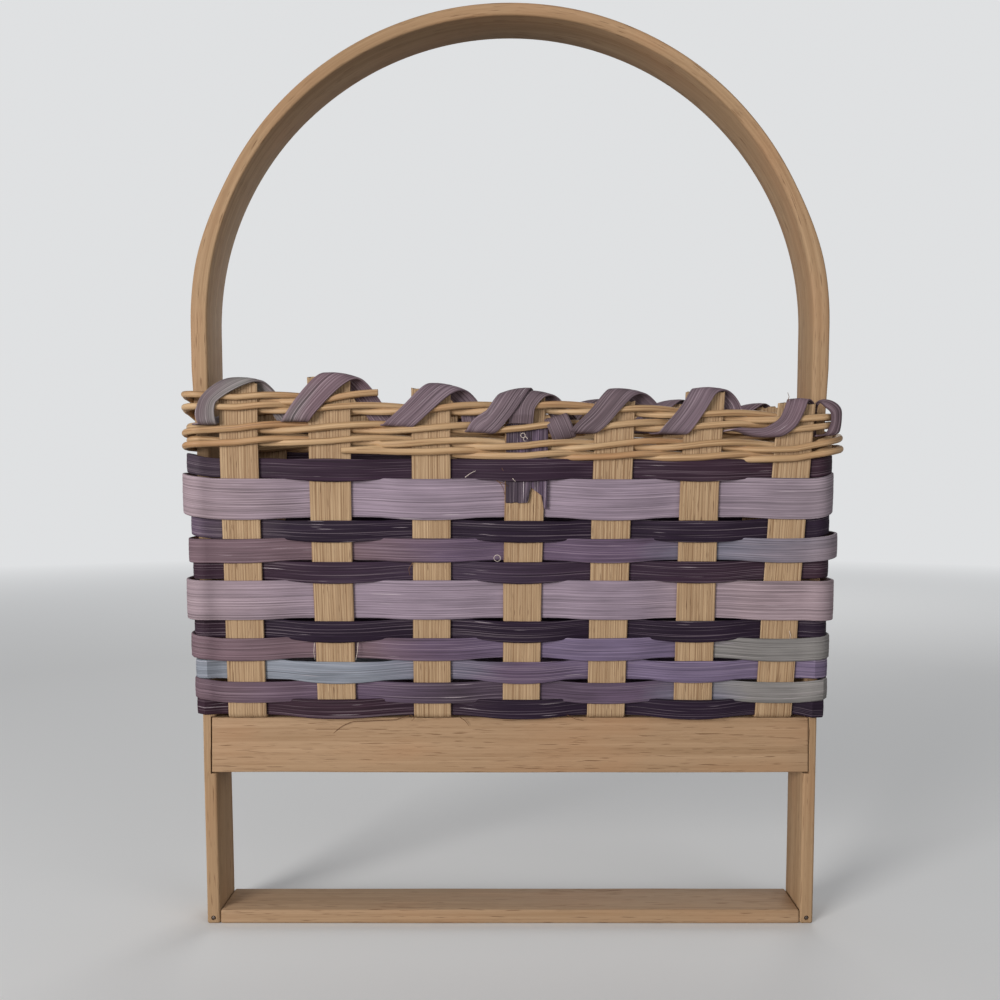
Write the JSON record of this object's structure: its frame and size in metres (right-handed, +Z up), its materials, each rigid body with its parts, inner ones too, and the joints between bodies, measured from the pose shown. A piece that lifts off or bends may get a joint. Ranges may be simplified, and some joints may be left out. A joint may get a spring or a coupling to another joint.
{
  "type": "woven handle basket",
  "caption": "Narrow hanging basket of flat and round reed woven on a bentwood hoop handle, which stands on its own foot or hangs from its arch.",
  "frame": {"origin": "middle of the foot, on the surface that the basket stands on", "axes": "+Z up along the hoop handle, +X to the right along the basket's length, front face towards -Y"},
  "size_m": [0.2643, 0.0649, 0.37],
  "materials": {
    "handle_wood": "bare bent oak, sanded, its long grain in layers",
    "rail_wood": "bare oak board, sanded",
    "pin_steel": "dull wire nail",
    "stake_reed": "natural flat reed, matt, with long fibres",
    "twine_reed": "natural round reed, slightly glossy",
    "dark_purple_reed": "flat reed dyed dark purple",
    "lavender_reed": "broad flat reed dyed pale lavender, streaky",
    "mauve_reed": "flat reed dyed mauve, streaky",
    "pale_blue_reed": "flat reed dyed pale blue-grey, fading to lavender",
    "lash_reed": "thin flat reed dyed grey-purple"
  },
  "bodies": {
    "root": {"hoop_handle": "handle_wood", "base_crosspiece": "handle_wood", "left_base_pin": "pin_steel", "right_base_pin": "pin_steel", "front_rail": "rail_wood", "back_rail": "rail_wood", "stake_1": "stake_reed", "stake_2": "stake_reed", "stake_3": "stake_reed", "stake_4": "stake_reed", "stake_5": "stake_reed", "stake_6": "stake_reed", "stake_7": "stake_reed", "weave_row_01": "dark_purple_reed", "weave_row_02": "lavender_reed", "weave_row_03": "dark_purple_reed", "weave_row_04": "mauve_reed", "weave_row_05": "dark_purple_reed", "weave_row_06": "lavender_reed", "weave_row_07": "dark_purple_reed", "weave_row_08": "mauve_reed", "weave_row_09": "pale_blue_reed", "weave_row_10": "mauve_reed", "weave_row_11": "dark_purple_reed", "rim_twine_1_a": "twine_reed", "rim_twine_1_b": "twine_reed", "rim_twine_2_a": "twine_reed", "rim_twine_2_b": "twine_reed", "rim_twine_3_a": "twine_reed", "rim_twine_3_b": "twine_reed", "rim_twine_4_a": "twine_reed", "rim_twine_4_b": "twine_reed", "rim_lashing": "lash_reed", "lash_tail": "lash_reed"}
  },
  "joints": []
}
